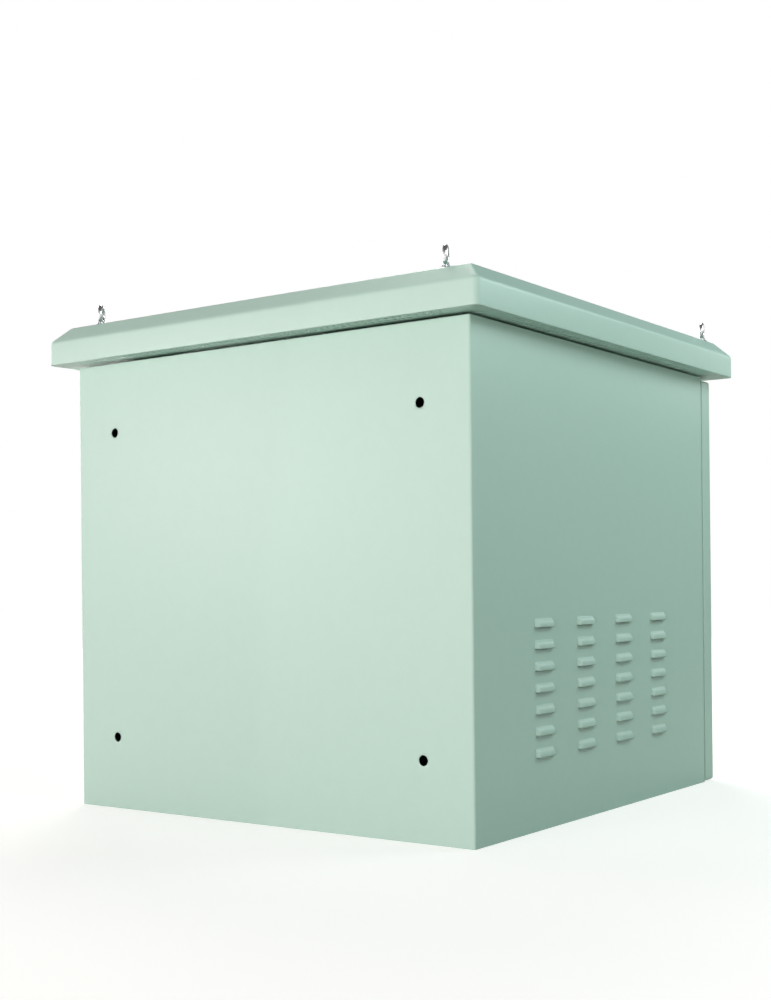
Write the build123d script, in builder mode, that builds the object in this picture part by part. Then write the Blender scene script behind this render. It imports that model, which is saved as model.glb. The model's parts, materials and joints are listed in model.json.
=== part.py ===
from build123d import *
import math
import os

os.makedirs("parts", exist_ok=True)

# Wall-mount rack cabinet. All lengths are in millimetres and all angles in degrees.
# The origin is the middle of the four wall holes, on the back face.
# +Y points into the wall, +Z points up, and the door faces -Y.

# Sheet-metal body
body_width = 600.0
body_depth = 600.0
body_height = 564.0
sheet = 1.5
bend_inner_radius = 1.0
front_flange = 20.0
panel_flange = 20.0
overrun = 2.0

# Four wall holes
wall_hole_columns = 470.0
wall_hole_rows = 386.0
wall_hole_rise = 90.0
wall_hole_diameter = 12.0

# Louvres pressed out of both side walls
louvre_columns = 4
louvre_rows = 7
louvre_column_pitch = 100.0
louvre_row_pitch = 24.5
louvre_lowest_rise = 88.0
louvre_width = 40.0
louvre_height = 10.0
louvre_depth = 5.0
louvre_wall = 1.2
louvre_end_slope = 2.6
louvre_lip_height = 3.4

# Roof hood
overhang_side = 26.5
overhang_back = 28.0
overhang_front = 23.0
eave_rise = 3.0
roof_air_gap = 50.5
bevel_rise = 20.0
bevel_run = 20.5
fascia_radius = 8.0
crown_radius = 4.0

# Perforated strips that close the eaves: angles fixed inside the fascia
vent_overlap = 12.0
vent_leg = 12.0
vent_thickness = 1.0
vent_hole_side = 4.0
vent_hole_pitch = 20.0
vent_margin = 42.0

# Hat brackets between the top panel and the roof
bracket_x_share = 0.8
bracket_y_share = 0.72
bracket_web = 30.0
bracket_foot = 14.0
bracket_length = 60.0

# Air slots in the top panel
slot_count = 11
slot_length = 220.0
slot_width = 8.0
slot_pitch = 24.0

# Lifting eye bolts
eye_rear_side_inset = 61.0
eye_rear_inset = 36.0
eye_front_side_inset = 31.5
eye_front_inset = 34.0
eye_ring_radius = 10.0
eye_bar_radius = 3.0
eye_sides = 12
eye_chamfer_share = 0.58
eye_ring_rise = 14.6
eye_collar_radius = 8.0
eye_neck_radius = 4.5
eye_collar_height = 4.0
eye_shank_radius = 3.0
eye_shank_length = 12.0
eye_turn_rear_left = -61.0
eye_turn_rear_right = -54.0
eye_turn_front_left = -70.0
eye_turn_front_right = -40.0
bolt_clearance = 0.3
thread_clearance = 0.1

# Door
door_joint = 2.0
door_depth = 25.0
door_top_gap = 6.0
door_base_gap = 1.0
door_corner_radius = 4.0
gasket_margin = 4.0
soft_clearance = 0.3
stiffener_spread_share = 0.5
stiffener_length_share = 0.8
stiffener_web = 26.0
stiffener_depth = 12.0
stiffener_foot = 12.0

# Lift-off hinges: the frame half has the pin, the door half turns on it
hinge_half_height = 34.0
hinge_low_rise = 60.0
hinge_top_inset = 60.0
hinge_barrel_radius = 5.5
hinge_standoff = 0.5
hinge_leaf_thickness = 2.5
hinge_leaf_width = 28.0
hinge_door_leaf_width = 16.0
hinge_clearance = 0.4
pin_radius = 2.6
pin_clearance = 0.05
pin_length = 28.0

# Quarter-turn lock
lock_inset = 50.0
lock_flange_side = 34.0
lock_flange_height = 4.0
lock_barrel_radius = 10.0
lock_barrel_length = 16.0
lock_nut_flats = 27.0
lock_nut_height = 5.0
spindle_radius = 5.0
spindle_clearance = 0.05
spindle_square = 7.0
handle_gap = 0.4
handle_boss_radius = 11.0
handle_boss_height = 10.0
handle_bar_length = 72.0
handle_bar_width = 13.0
handle_bar_depth = 11.0
cam_clearance = 1.2
cam_thickness = 3.0
cam_length = 40.0
cam_width = 18.0

# Rack rails; in a body 600 wide they stand on the nineteen-inch standard, 450 apart
unit_height = 44.45
unit_hole_offsets = (6.35, 22.225, 38.1)
rack_side_room = 75.0
rack_top_room = 45.0
rack_base_rise = 26.0
rack_hole_inset = 7.55
rack_hole_side = 9.5
rail_thickness = 2.0
rail_face = 32.0
rail_leg = 30.0
rail_end = 10.0
rail_front_setback = 60.0
support_height = 30.0
support_inset = 16.0
support_end_gap = 40.0

# Filters behind the louvres
filter_border = 16.0
filter_depth = 14.0
filter_sheet = 1.2
filter_rim = 8.0

# Cable entry in the floor
gland_length = 400.0
gland_width = 130.0
gland_border = 20.0
gland_back_gap = 50.0
gland_thickness = 2.0
gland_gasket_thickness = 1.5

# Levels and faces that several pieces share
half_width = body_width / 2
inner_half_width = half_width - sheet
pan_half_width = inner_half_width - sheet
front_y = -body_depth
middle_y = front_y / 2
base_z = -(wall_hole_rise + wall_hole_rows / 2)
top_z = base_z + body_height
eave_z = top_z + eave_rise
roof_top_z = top_z + roof_air_gap + sheet
fascia_top_z = roof_top_z - bevel_rise
door_rear_y = front_y - door_joint
door_front_y = door_rear_y - door_depth
door_base_z = base_z + door_base_gap
door_top_z = eave_z - door_top_gap
door_height = door_top_z - door_base_z
door_middle_z = (door_top_z + door_base_z) / 2
sill_height = door_base_gap + front_flange
lintel_height = top_z - door_top_z + front_flange
frame_half_width = half_width - front_flange
standing = (Align.CENTER, Align.CENTER, Align.MIN)


def box_between(low, high, mode=Mode.ADD):
    """Solid block between two opposite corners, for use inside a part."""
    size = [b - a for a, b in zip(low, high)]
    with Locations(tuple(low)):
        Box(*size, align=(Align.MIN, Align.MIN, Align.MIN), mode=mode)


def save(shape, node):
    """Label one piece and write it to its own file."""
    shape.label = node
    export_step(shape, "parts/" + node + ".step")


# One pressed louvre, lying on the sheet's outer face with +Z outwards and +Y up
lip_width = louvre_width - 2 * louvre_end_slope
louvre_top = louvre_height / 2
louvre_bottom = -louvre_height / 2
lip_top = louvre_bottom + louvre_lip_height

with BuildPart() as louvre_hood:
    with BuildSketch(Plane.YZ):
        Polygon(
            (louvre_bottom, 0),
            (louvre_top, 0),
            (lip_top, louvre_depth),
            (louvre_bottom, louvre_depth),
            align=None,
        )
    extrude(amount=louvre_width, both=True)
    with BuildSketch(Plane.XZ):
        Polygon(
            (-louvre_width / 2, 0),
            (louvre_width / 2, 0),
            (lip_width / 2, louvre_depth),
            (-lip_width / 2, louvre_depth),
            align=None,
        )
    extrude(amount=louvre_height, both=True, mode=Mode.INTERSECT)

# The hollow of a louvre, open downwards and through the sheet
hollow_half = louvre_width / 2 - louvre_wall
hollow_lip_half = lip_width / 2 - louvre_wall
hollow_depth = louvre_depth - louvre_wall
hollow_start = -sheet - overrun

with BuildPart() as louvre_hollow:
    with BuildSketch(Plane.YZ):
        Polygon(
            (louvre_bottom, hollow_start),
            (louvre_top - louvre_wall, hollow_start),
            (louvre_top - louvre_wall, 0),
            (lip_top - louvre_wall / 2, hollow_depth),
            (louvre_bottom, hollow_depth),
            align=None,
        )
    extrude(amount=louvre_width, both=True)
    with BuildSketch(Plane.XZ):
        Polygon(
            (-hollow_half, hollow_start),
            (hollow_half, hollow_start),
            (hollow_half, 0),
            (hollow_lip_half, hollow_depth),
            (-hollow_lip_half, hollow_depth),
            (-hollow_half, 0),
            align=None,
        )
    extrude(amount=louvre_height, both=True, mode=Mode.INTERSECT)

# Body shell: back, sides and front flanges folded from one sheet
louvre_field_z = base_z + louvre_lowest_rise + louvre_row_pitch * (louvre_rows - 1) / 2
louvre_planes = [
    Plane((side * half_width, middle_y, louvre_field_z), x_dir=(0, side, 0), z_dir=(side, 0, 0))
    for side in (-1, 1)
]
fold_x = half_width - sheet / 2
fold_front_y = front_y + sheet / 2

with BuildPart() as body_shell:
    with BuildSketch(Plane.XY.offset(base_z)):
        with BuildLine():
            FilletPolyline(
                (-frame_half_width, fold_front_y),
                (-fold_x, fold_front_y),
                (-fold_x, -sheet / 2),
                (fold_x, -sheet / 2),
                (fold_x, fold_front_y),
                (frame_half_width, fold_front_y),
                radius=bend_inner_radius + sheet / 2,
            )
        trace(line_width=sheet)
    extrude(amount=body_height)
    with BuildSketch(Plane.XZ):
        with GridLocations(wall_hole_columns, wall_hole_rows, 2, 2):
            Circle(wall_hole_diameter / 2)
    extrude(amount=sheet + overrun, both=True, mode=Mode.SUBTRACT)
    with Locations(*louvre_planes):
        with GridLocations(louvre_column_pitch, louvre_row_pitch, louvre_columns, louvre_rows):
            add(louvre_hood.part)
            add(louvre_hollow.part, mode=Mode.SUBTRACT)
save(body_shell.part, "body_shell")

# Roof brackets stand on the top panel and carry the roof
bracket_x = half_width * bracket_x_share
bracket_y = body_depth * bracket_y_share / 2
bracket_places = [
    (side * bracket_x, middle_y + end * bracket_y) for side in (-1, 1) for end in (-1, 1)
]

# Top panel: pan with its rims turned down at the back and the sides, and air slots
with BuildPart() as top_panel:
    with BuildSketch(Plane.XY.offset(top_z - panel_flange)):
        with Locations((0, middle_y)):
            RectangleRounded(2 * inner_half_width, body_depth - 2 * sheet, bend_inner_radius)
    extrude(amount=panel_flange)
    box_between(
        (-pan_half_width, front_y, top_z - panel_flange),
        (pan_half_width, -2 * sheet, top_z - sheet),
        mode=Mode.SUBTRACT,
    )
    with BuildSketch(Plane.XY.offset(top_z - sheet - overrun)):
        with Locations((0, middle_y)):
            with GridLocations(slot_pitch, 0, slot_count, 1):
                Rectangle(slot_width, slot_length)
    extrude(amount=sheet + 2 * overrun, mode=Mode.SUBTRACT)
save(top_panel.part, "top_panel")

# Lintel: strip over the door, between the front flanges
with BuildPart() as lintel:
    box_between(
        (-frame_half_width, front_y, top_z - lintel_height),
        (frame_half_width, front_y + sheet, top_z),
    )
save(lintel.part, "lintel")

# Bottom panel: pan with its rims turned up at the back and the sides, and the cable opening
gland_y = -gland_back_gap - gland_width / 2
gland_opening_length = gland_length - 2 * gland_border
gland_opening_width = gland_width - 2 * gland_border

with BuildPart() as bottom_panel:
    with BuildSketch(Plane.XY.offset(base_z)):
        with Locations((0, middle_y)):
            RectangleRounded(2 * inner_half_width, body_depth - 2 * sheet, bend_inner_radius)
    extrude(amount=panel_flange)
    box_between(
        (-pan_half_width, front_y, base_z + sheet),
        (pan_half_width, -2 * sheet, base_z + panel_flange),
        mode=Mode.SUBTRACT,
    )
    with BuildSketch(Plane.XY.offset(base_z - overrun)):
        with Locations((0, gland_y)):
            Rectangle(gland_opening_length, gland_opening_width)
    extrude(amount=sheet + 2 * overrun, mode=Mode.SUBTRACT)
save(bottom_panel.part, "bottom_panel")

# Sill: strip under the door, between the front flanges
with BuildPart() as sill:
    box_between(
        (-frame_half_width, front_y, base_z),
        (frame_half_width, front_y + sheet, base_z + sill_height),
    )
save(sill.part, "sill")

# Gasket and blank plate over the cable opening
gland_gasket_z = base_z + sheet

with BuildPart() as gland_gasket:
    with BuildSketch(Plane.XY.offset(gland_gasket_z)):
        with Locations((0, gland_y)):
            Rectangle(gland_length, gland_width)
            Rectangle(gland_opening_length, gland_opening_width, mode=Mode.SUBTRACT)
    extrude(amount=gland_gasket_thickness)
save(gland_gasket.part, "gland_gasket")

with BuildPart() as gland_plate:
    with BuildSketch(Plane.XY.offset(gland_gasket_z + gland_gasket_thickness)):
        with Locations((0, gland_y)):
            Rectangle(gland_length, gland_width)
    extrude(amount=gland_thickness)
save(gland_plate.part, "gland_plate")

# Roof hood: fascia, bevel and flat top in one sheet
roof_half_width = half_width + overhang_side
roof_back_y = overhang_back
roof_front_y = door_front_y - overhang_front
roof_width = 2 * roof_half_width
roof_depth = roof_back_y - roof_front_y
roof_middle_y = (roof_back_y + roof_front_y) / 2
bevel_angle = math.atan2(bevel_rise, bevel_run)
lower_mitre = sheet * math.tan((math.pi / 2 - bevel_angle) / 2)
upper_mitre = sheet * math.tan(bevel_angle / 2)
crown_inset = 2 * bevel_run
hollow_crown_inset = 2 * (bevel_run + upper_mitre)
eye_rear_x = roof_half_width - eye_rear_side_inset
eye_rear_y = roof_back_y - eye_rear_inset
eye_front_x = roof_half_width - eye_front_side_inset
eye_front_y = roof_front_y + eye_front_inset
eye_places = [
    (-eye_rear_x, eye_rear_y, eye_turn_rear_left),
    (eye_rear_x, eye_rear_y, eye_turn_rear_right),
    (-eye_front_x, eye_front_y, eye_turn_front_left),
    (eye_front_x, eye_front_y, eye_turn_front_right),
]
eye_points = [place[:2] for place in eye_places]

with BuildPart() as roof_hood:
    with BuildSketch(Plane.XY.offset(eave_z)):
        with Locations((0, roof_middle_y)):
            RectangleRounded(roof_width, roof_depth, fascia_radius)
    extrude(amount=fascia_top_z - eave_z)
    with BuildSketch(Plane.XY.offset(fascia_top_z)):
        with Locations((0, roof_middle_y)):
            RectangleRounded(roof_width, roof_depth, fascia_radius)
    with BuildSketch(Plane.XY.offset(roof_top_z)):
        with Locations((0, roof_middle_y)):
            RectangleRounded(roof_width - crown_inset, roof_depth - crown_inset, crown_radius)
    loft(ruled=True)
    # Hollow of the fascia, open below, then the hollow of the bevel
    with BuildSketch(Plane.XY.offset(eave_z - overrun)):
        with Locations((0, roof_middle_y)):
            RectangleRounded(roof_width - 2 * sheet, roof_depth - 2 * sheet, fascia_radius - sheet)
    extrude(amount=fascia_top_z - lower_mitre - eave_z + overrun, mode=Mode.SUBTRACT)
    with BuildSketch(Plane.XY.offset(fascia_top_z - lower_mitre)):
        with Locations((0, roof_middle_y)):
            RectangleRounded(roof_width - 2 * sheet, roof_depth - 2 * sheet, fascia_radius - sheet)
    with BuildSketch(Plane.XY.offset(roof_top_z - sheet)):
        with Locations((0, roof_middle_y)):
            RectangleRounded(
                roof_width - hollow_crown_inset, roof_depth - hollow_crown_inset, crown_radius - sheet
            )
    loft(ruled=True, mode=Mode.SUBTRACT)
    # Holes for the eye bolts
    with BuildSketch(Plane.XY.offset(roof_top_z - sheet - overrun)):
        with Locations(*eye_points):
            Circle(eye_shank_radius + bolt_clearance)
    extrude(amount=sheet + 2 * overrun, mode=Mode.SUBTRACT)
save(roof_hood.part, "roof_hood")

# Perforated strips inside the fascia; they reach over the body's rim and leave an air gap
strip_outer_x = roof_half_width - sheet
strip_inner_x = half_width - vent_overlap
strip_back_y = roof_back_y - sheet
strip_front_y = roof_front_y + sheet
strip_inner_front_y = front_y + vent_overlap
strip_corner = fascia_radius - sheet
leg_half = strip_outer_x - strip_corner
leg_z = eave_z + vent_leg
back_band = strip_back_y + vent_overlap
front_band = strip_inner_front_y - strip_front_y
side_band = strip_outer_x - strip_inner_x
side_length = -vent_overlap - strip_inner_front_y


def hole_count(length):
    """Number of holes that fit a strip of this length."""
    return int((length - 2 * vent_margin) / vent_hole_pitch) + 1


with BuildPart() as vent_strip_back:
    with BuildSketch(Plane.XY.offset(eave_z)):
        with Locations((0, roof_middle_y)):
            RectangleRounded(roof_width - 2 * sheet, roof_depth - 2 * sheet, strip_corner)
        with Locations((0, strip_back_y - back_band / 2)):
            Rectangle(roof_width, back_band, mode=Mode.INTERSECT)
        with Locations((0, overhang_back / 2)):
            with GridLocations(vent_hole_pitch, 0, hole_count(roof_width), 1):
                Rectangle(vent_hole_side, vent_hole_side, mode=Mode.SUBTRACT)
    extrude(amount=vent_thickness)
    box_between((-leg_half, strip_back_y - vent_thickness, eave_z), (leg_half, strip_back_y, leg_z))
save(vent_strip_back.part, "vent_strip_back")

with BuildPart() as vent_strip_front:
    with BuildSketch(Plane.XY.offset(eave_z)):
        with Locations((0, roof_middle_y)):
            RectangleRounded(roof_width - 2 * sheet, roof_depth - 2 * sheet, strip_corner)
        with Locations((0, strip_front_y + front_band / 2)):
            Rectangle(roof_width, front_band, mode=Mode.INTERSECT)
        with Locations((0, roof_front_y + overhang_front / 2)):
            with GridLocations(vent_hole_pitch, 0, hole_count(roof_width), 1):
                Rectangle(vent_hole_side, vent_hole_side, mode=Mode.SUBTRACT)
    extrude(amount=vent_thickness)
    box_between((-leg_half, strip_front_y, eave_z), (leg_half, strip_front_y + vent_thickness, leg_z))
save(vent_strip_front.part, "vent_strip_front")

with BuildPart() as vent_strip_side:
    with BuildSketch(Plane.XY.offset(eave_z)):
        with Locations((strip_inner_x + side_band / 2, middle_y)):
            Rectangle(side_band, side_length)
        with Locations((half_width + overhang_side / 2, middle_y)):
            with GridLocations(0, vent_hole_pitch, 1, hole_count(side_length)):
                Rectangle(vent_hole_side, vent_hole_side, mode=Mode.SUBTRACT)
    extrude(amount=vent_thickness)
    box_between(
        (strip_outer_x - vent_thickness, middle_y - side_length / 2, eave_z),
        (strip_outer_x, middle_y + side_length / 2, leg_z),
    )
save(vent_strip_side.part.mirror(Plane.YZ), "vent_strip_left")
save(vent_strip_side.part, "vent_strip_right")

# Roof brackets: hat sections between the top panel and the roof
bracket_half = bracket_web / 2
bracket_low = sheet / 2
bracket_high = roof_air_gap - sheet / 2

with BuildPart() as roof_bracket:
    with BuildSketch(Plane.XZ.offset(-bracket_length / 2)):
        with BuildLine():
            Polyline(
                (-bracket_half - bracket_foot, bracket_low),
                (-bracket_half, bracket_low),
                (-bracket_half, bracket_high),
                (bracket_half, bracket_high),
                (bracket_half, bracket_low),
                (bracket_half + bracket_foot, bracket_low),
            )
        trace(line_width=sheet)
    extrude(amount=bracket_length)

with BuildPart() as roof_brackets:
    with Locations(*[(x, y, top_z) for x, y in bracket_places]):
        add(roof_bracket.part)
save(roof_brackets.part, "roof_brackets")

# Ring of an eye bolt; short flats and broken edges stand for its round bar
with BuildPart() as eye_ring:
    with BuildSketch(Plane.XZ.offset(-eye_bar_radius)):
        with Locations((0, eye_ring_rise)):
            RegularPolygon(eye_ring_radius + eye_bar_radius, eye_sides)
            RegularPolygon(eye_ring_radius - eye_bar_radius, eye_sides, mode=Mode.SUBTRACT)
    extrude(amount=2 * eye_bar_radius)
    chamfer(eye_ring.faces().filter_by(Axis.Y).edges(), eye_bar_radius * eye_chamfer_share)

# Lifting eye bolts: shank, flared collar and ring, forged as one
with BuildPart() as eye_bolt:
    with BuildSketch():
        RegularPolygon(eye_shank_radius, eye_sides)
    extrude(amount=-eye_shank_length)
    with BuildSketch():
        RegularPolygon(eye_collar_radius, eye_sides)
    with BuildSketch(Plane.XY.offset(eye_collar_height)):
        RegularPolygon(eye_neck_radius, eye_sides)
    loft(ruled=True)
    add(eye_ring.part)

with BuildPart() as eye_bolts:
    for eye_x, eye_y, eye_turn in eye_places:
        with Locations(Location((eye_x, eye_y, roof_top_z), (0, 0, eye_turn))):
            add(eye_bolt.part)
save(eye_bolts.part, "eye_bolts")

# Rack rails: angle section with square holes; the right one is drawn
rack_units = int((body_height - rack_base_rise - rack_top_room) / unit_height)
rack_opening = body_width - 2 * rack_side_room
rack_hole_x = rack_opening / 2 + rack_hole_inset
rail_front_y = front_y + rail_front_setback
rail_outer_x = rack_opening / 2 + rail_face
rail_base_z = base_z + rack_base_rise - rail_end
rail_length = rack_units * unit_height + 2 * rail_end
rack_hole_points = [
    (rack_hole_x, base_z + rack_base_rise + unit * unit_height + offset)
    for unit in range(rack_units)
    for offset in unit_hole_offsets
]

with BuildPart() as rail_right:
    with BuildSketch(Plane.XY.offset(rail_base_z)):
        with BuildLine():
            Polyline(
                (rack_opening / 2, rail_front_y + rail_thickness / 2),
                (rail_outer_x - rail_thickness / 2, rail_front_y + rail_thickness / 2),
                (rail_outer_x - rail_thickness / 2, rail_front_y + rail_leg),
            )
        trace(line_width=rail_thickness)
    extrude(amount=rail_length)
    with BuildSketch(Plane.XZ.offset(-rail_front_y - rail_thickness - overrun)):
        with Locations(*rack_hole_points):
            Rectangle(rack_hole_side, rack_hole_side)
    extrude(amount=rail_thickness + 2 * overrun, mode=Mode.SUBTRACT)
save(rail_right.part.mirror(Plane.YZ), "rack_rail_left")
save(rail_right.part, "rack_rail_right")

# Channels on the side walls that carry the rails
support_low_z = rail_base_z + support_inset
support_lift = rail_length - 2 * support_inset - support_height
support_inner_x = rail_outer_x + rail_thickness / 2
support_outer_x = inner_half_width - rail_thickness / 2
support_length = body_depth - 2 * support_end_gap

with BuildPart() as rail_support:
    with BuildSketch(Plane.XZ.offset(support_end_gap)):
        with BuildLine():
            Polyline(
                (support_inner_x, support_low_z),
                (support_inner_x, support_low_z + support_height - rail_thickness / 2),
                (support_outer_x, support_low_z + support_height - rail_thickness / 2),
                (support_outer_x, support_low_z),
            )
        trace(line_width=rail_thickness)
    extrude(amount=support_length)
support_upper = rail_support.part.moved(Location((0, 0, support_lift)))
save(rail_support.part.mirror(Plane.YZ), "rail_support_lower_left")
save(support_upper.mirror(Plane.YZ), "rail_support_upper_left")
save(support_upper, "rail_support_upper_right")
save(rail_support.part, "rail_support_lower_right")

# Filter trays and mats behind the louvres; the right ones are drawn
filter_length = louvre_column_pitch * (louvre_columns - 1) + louvre_width + 2 * filter_border
filter_height = louvre_row_pitch * (louvre_rows - 1) + louvre_height + 2 * filter_border
filter_plane = Plane(
    (inner_half_width, middle_y, louvre_field_z), x_dir=(0, -1, 0), z_dir=(-1, 0, 0)
)
mat_length = filter_length - 2 * filter_sheet
mat_height = filter_height - 2 * filter_sheet
mat_depth = filter_depth - filter_sheet

with BuildPart() as filter_frame:
    with BuildSketch(filter_plane):
        Rectangle(filter_length, filter_height)
    extrude(amount=filter_depth)
    with BuildSketch(filter_plane):
        Rectangle(mat_length, mat_height)
    extrude(amount=mat_depth, mode=Mode.SUBTRACT)
    with BuildSketch(filter_plane):
        Rectangle(mat_length - 2 * filter_rim, mat_height - 2 * filter_rim)
    extrude(amount=filter_depth + overrun, mode=Mode.SUBTRACT)
save(filter_frame.part.mirror(Plane.YZ), "filter_frame_left")
save(filter_frame.part, "filter_frame_right")

with BuildPart() as filter_mat:
    with BuildSketch(filter_plane.offset(soft_clearance)):
        Rectangle(mat_length - 2 * soft_clearance, mat_height - 2 * soft_clearance)
    extrude(amount=mat_depth - 2 * soft_clearance)
save(filter_mat.part.mirror(Plane.YZ), "filter_mat_left")
save(filter_mat.part, "filter_mat_right")

# Door: folded pan, open to the back, with a lip all round
lock_x = -half_width + lock_inset
lock_place = (lock_x, door_middle_z)
door_plane = Plane.XZ.offset(-door_rear_y)
door_face_plane = Plane.XZ.offset(-door_front_y)

with BuildPart() as door_panel:
    with BuildSketch(door_plane):
        with Locations((0, door_middle_z)):
            RectangleRounded(body_width, door_height, door_corner_radius)
    extrude(amount=door_depth)
    with BuildSketch(door_plane.offset(sheet)):
        with Locations((0, door_middle_z)):
            Rectangle(body_width - 2 * sheet, door_height - 2 * sheet)
    extrude(amount=door_depth - 2 * sheet, mode=Mode.SUBTRACT)
    with BuildSketch(door_plane):
        with Locations((0, door_middle_z)):
            Rectangle(body_width - 2 * front_flange, door_height - 2 * front_flange)
    extrude(amount=2 * sheet, both=True, mode=Mode.SUBTRACT)
    with BuildSketch(door_face_plane):
        with Locations(lock_place):
            Circle(lock_barrel_radius + bolt_clearance)
    extrude(amount=sheet + overrun, both=True, mode=Mode.SUBTRACT)
save(door_panel.part, "door_panel")

# Gasket on the door's lip
gasket_width = front_flange - 2 * gasket_margin

with BuildPart() as door_gasket:
    with BuildSketch(door_plane):
        with Locations((0, door_middle_z)):
            Rectangle(body_width - 2 * gasket_margin, door_height - 2 * gasket_margin)
            Rectangle(
                body_width - 2 * gasket_margin - 2 * gasket_width,
                door_height - 2 * gasket_margin - 2 * gasket_width,
                mode=Mode.SUBTRACT,
            )
    extrude(amount=-(door_joint - soft_clearance))
save(door_gasket.part, "door_gasket")

# Hat stiffeners on the inside of the door
stiffener_x = half_width * stiffener_spread_share
stiffener_length = door_height * stiffener_length_share
stiffener_half = stiffener_web / 2
stiffener_near_y = door_front_y + sheet + sheet / 2
stiffener_far_y = stiffener_near_y + stiffener_depth - sheet

with BuildPart() as door_stiffener:
    with BuildSketch(Plane.XY.offset(door_middle_z - stiffener_length / 2)):
        with BuildLine():
            Polyline(
                (stiffener_x - stiffener_half - stiffener_foot, stiffener_near_y),
                (stiffener_x - stiffener_half, stiffener_near_y),
                (stiffener_x - stiffener_half, stiffener_far_y),
                (stiffener_x + stiffener_half, stiffener_far_y),
                (stiffener_x + stiffener_half, stiffener_near_y),
                (stiffener_x + stiffener_half + stiffener_foot, stiffener_near_y),
            )
        trace(line_width=sheet)
    extrude(amount=stiffener_length)
save(door_stiffener.part.mirror(Plane.YZ), "door_stiffener_left")
save(door_stiffener.part, "door_stiffener_right")

# Hinges: the lower one is drawn and the upper one is a copy
hinge_x = half_width + hinge_standoff + hinge_barrel_radius
hinge_y = (front_y + door_rear_y) / 2
hinge_base_z = door_base_z + hinge_low_rise
hinge_split_z = hinge_base_z + hinge_half_height
hinge_height = 2 * hinge_half_height + hinge_clearance
hinge_lift = door_height - hinge_low_rise - hinge_top_inset - hinge_height
knuckle_reach = hinge_barrel_radius + hinge_clearance
leaf_outer_x = half_width + hinge_leaf_thickness
door_half_z = hinge_split_z + hinge_clearance

with BuildPart() as hinge_frame_half:
    box_between(
        (half_width, hinge_y, hinge_base_z),
        (leaf_outer_x, hinge_y + knuckle_reach + hinge_leaf_width, hinge_split_z),
    )
    with Locations((hinge_x, hinge_y, hinge_base_z)):
        Cylinder(hinge_barrel_radius, hinge_half_height, align=standing)
        Cylinder(pin_radius, hinge_half_height + pin_length, align=standing)

with BuildPart() as hinge_door_half:
    box_between(
        (half_width, hinge_y - knuckle_reach - hinge_door_leaf_width, door_half_z),
        (leaf_outer_x, hinge_y, door_half_z + hinge_half_height),
    )
    with Locations((hinge_x, hinge_y, door_half_z)):
        Cylinder(hinge_barrel_radius, hinge_half_height, align=standing)
        Cylinder(pin_radius + pin_clearance, pin_length, align=standing, mode=Mode.SUBTRACT)

hinge_up = Location((0, 0, hinge_lift))
save(hinge_frame_half.part.moved(hinge_up), "hinge_upper_frame_half")
save(hinge_door_half.part.moved(hinge_up), "hinge_upper_door_half")
save(hinge_frame_half.part, "hinge_lower_frame_half")
save(hinge_door_half.part, "hinge_lower_door_half")

# Lock housing through the door's sheet, and the nut that holds it
with BuildPart() as lock_housing:
    with BuildSketch(door_face_plane):
        with Locations(lock_place):
            Rectangle(lock_flange_side, lock_flange_side)
    extrude(amount=lock_flange_height)
    with BuildSketch(door_face_plane):
        with Locations(lock_place):
            Circle(lock_barrel_radius)
    extrude(amount=-lock_barrel_length)
    with BuildSketch(door_face_plane):
        with Locations(lock_place):
            Circle(spindle_radius + spindle_clearance)
    extrude(amount=lock_barrel_length + lock_flange_height, both=True, mode=Mode.SUBTRACT)
save(lock_housing.part, "lock_housing")

with BuildPart() as lock_nut:
    with BuildSketch(door_face_plane.offset(-sheet)):
        with Locations(lock_place):
            RegularPolygon(lock_nut_flats / 2, 6, major_radius=False)
            Circle(lock_barrel_radius + thread_clearance, mode=Mode.SUBTRACT)
    extrude(amount=-lock_nut_height)
save(lock_nut.part, "lock_nut")

# T-handle with its spindle; at rest the lock is open and the cam hangs down
handle_plane = door_face_plane.offset(lock_flange_height + handle_gap)
cam_front_y = front_y + sheet + cam_clearance
cam_plane = Plane.XZ.offset(-cam_front_y)
spindle_length = cam_front_y - door_front_y + lock_flange_height + handle_gap

with BuildPart() as lock_handle:
    with BuildSketch(handle_plane):
        with Locations(lock_place):
            Circle(handle_boss_radius)
    extrude(amount=handle_boss_height)
    with BuildSketch(handle_plane.offset(handle_boss_height)):
        with Locations(lock_place):
            Rectangle(handle_bar_length, handle_bar_width)
    extrude(amount=handle_bar_depth)
    with BuildSketch(handle_plane):
        with Locations(lock_place):
            Circle(spindle_radius)
    extrude(amount=-spindle_length)
    with BuildSketch(cam_plane):
        with Locations(lock_place):
            Rectangle(spindle_square, spindle_square)
    extrude(amount=-cam_thickness)
save(lock_handle.part, "lock_handle")

with BuildPart() as lock_cam:
    with BuildSketch(cam_plane):
        with Locations((lock_x, door_middle_z - cam_length / 2 + cam_width / 4)):
            Rectangle(cam_width, cam_length + cam_width / 2)
        with Locations(lock_place):
            Rectangle(
                spindle_square + 2 * thread_clearance,
                spindle_square + 2 * thread_clearance,
                mode=Mode.SUBTRACT,
            )
    extrude(amount=-cam_thickness)
save(lock_cam.part, "lock_cam")
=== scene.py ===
import json
import math
import bmesh
import bpy
from mathutils import Matrix, Vector


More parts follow.
